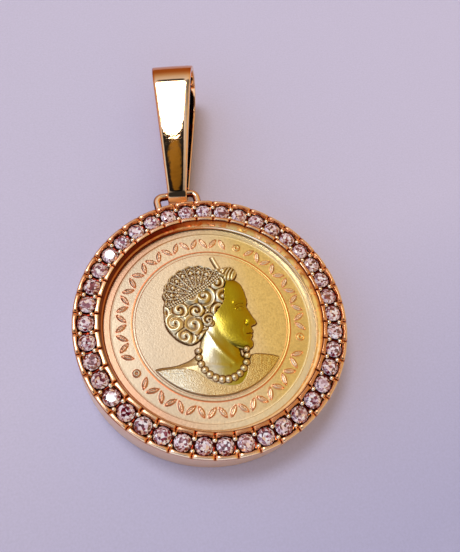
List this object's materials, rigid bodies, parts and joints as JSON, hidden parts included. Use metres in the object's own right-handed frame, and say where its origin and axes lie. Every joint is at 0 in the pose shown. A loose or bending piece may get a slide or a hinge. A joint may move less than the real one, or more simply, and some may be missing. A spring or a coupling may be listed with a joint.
{
  "type": "coin pendant",
  "caption": "Coin in a stone-set bezel with a wire staple and a tapered, swinging bail.",
  "frame": {"origin": "middle of the pendant's outline, on the floor under its back, as it lies face up", "axes": "+Y from the coin to the bail, +Z out of the coin's face, +X to the right of the face"},
  "size_m": [0.0175, 0.0296, 0.0052],
  "materials": {
    "gold": "polished 14 ct gold",
    "coin_gold": "satin fine gold",
    "stone": "brilliant cut, polished"
  },
  "bodies": {
    "ring": {"bezel": "gold", "coin": "coin_gold", "stone_01": "stone", "stone_02": "stone", "stone_03": "stone", "stone_04": "stone", "stone_05": "stone", "stone_06": "stone", "stone_07": "stone", "stone_08": "stone", "stone_09": "stone", "stone_10": "stone", "stone_11": "stone", "stone_12": "stone", "stone_13": "stone", "stone_14": "stone", "stone_15": "stone", "stone_16": "stone", "stone_17": "stone", "stone_18": "stone", "stone_19": "stone", "stone_20": "stone", "stone_21": "stone", "stone_22": "stone", "stone_23": "stone", "stone_24": "stone", "stone_25": "stone", "stone_26": "stone", "stone_27": "stone", "stone_28": "stone", "stone_29": "stone", "stone_30": "stone", "stone_31": "stone", "stone_32": "stone", "stone_33": "stone", "stone_34": "stone", "stone_35": "stone", "stone_36": "stone", "stone_37": "stone", "stone_38": "stone", "stone_39": "stone", "stone_40": "stone"},
    "bail": {"bail": "gold"}
  },
  "joints": [
    {"name": "bail_swing", "type": "hinge", "parent": "ring", "child": "bail", "pos_m": [0, 0.00423, 0.0015], "axis": [1, 0, 0], "range_deg": [-98, 82]}
  ]
}
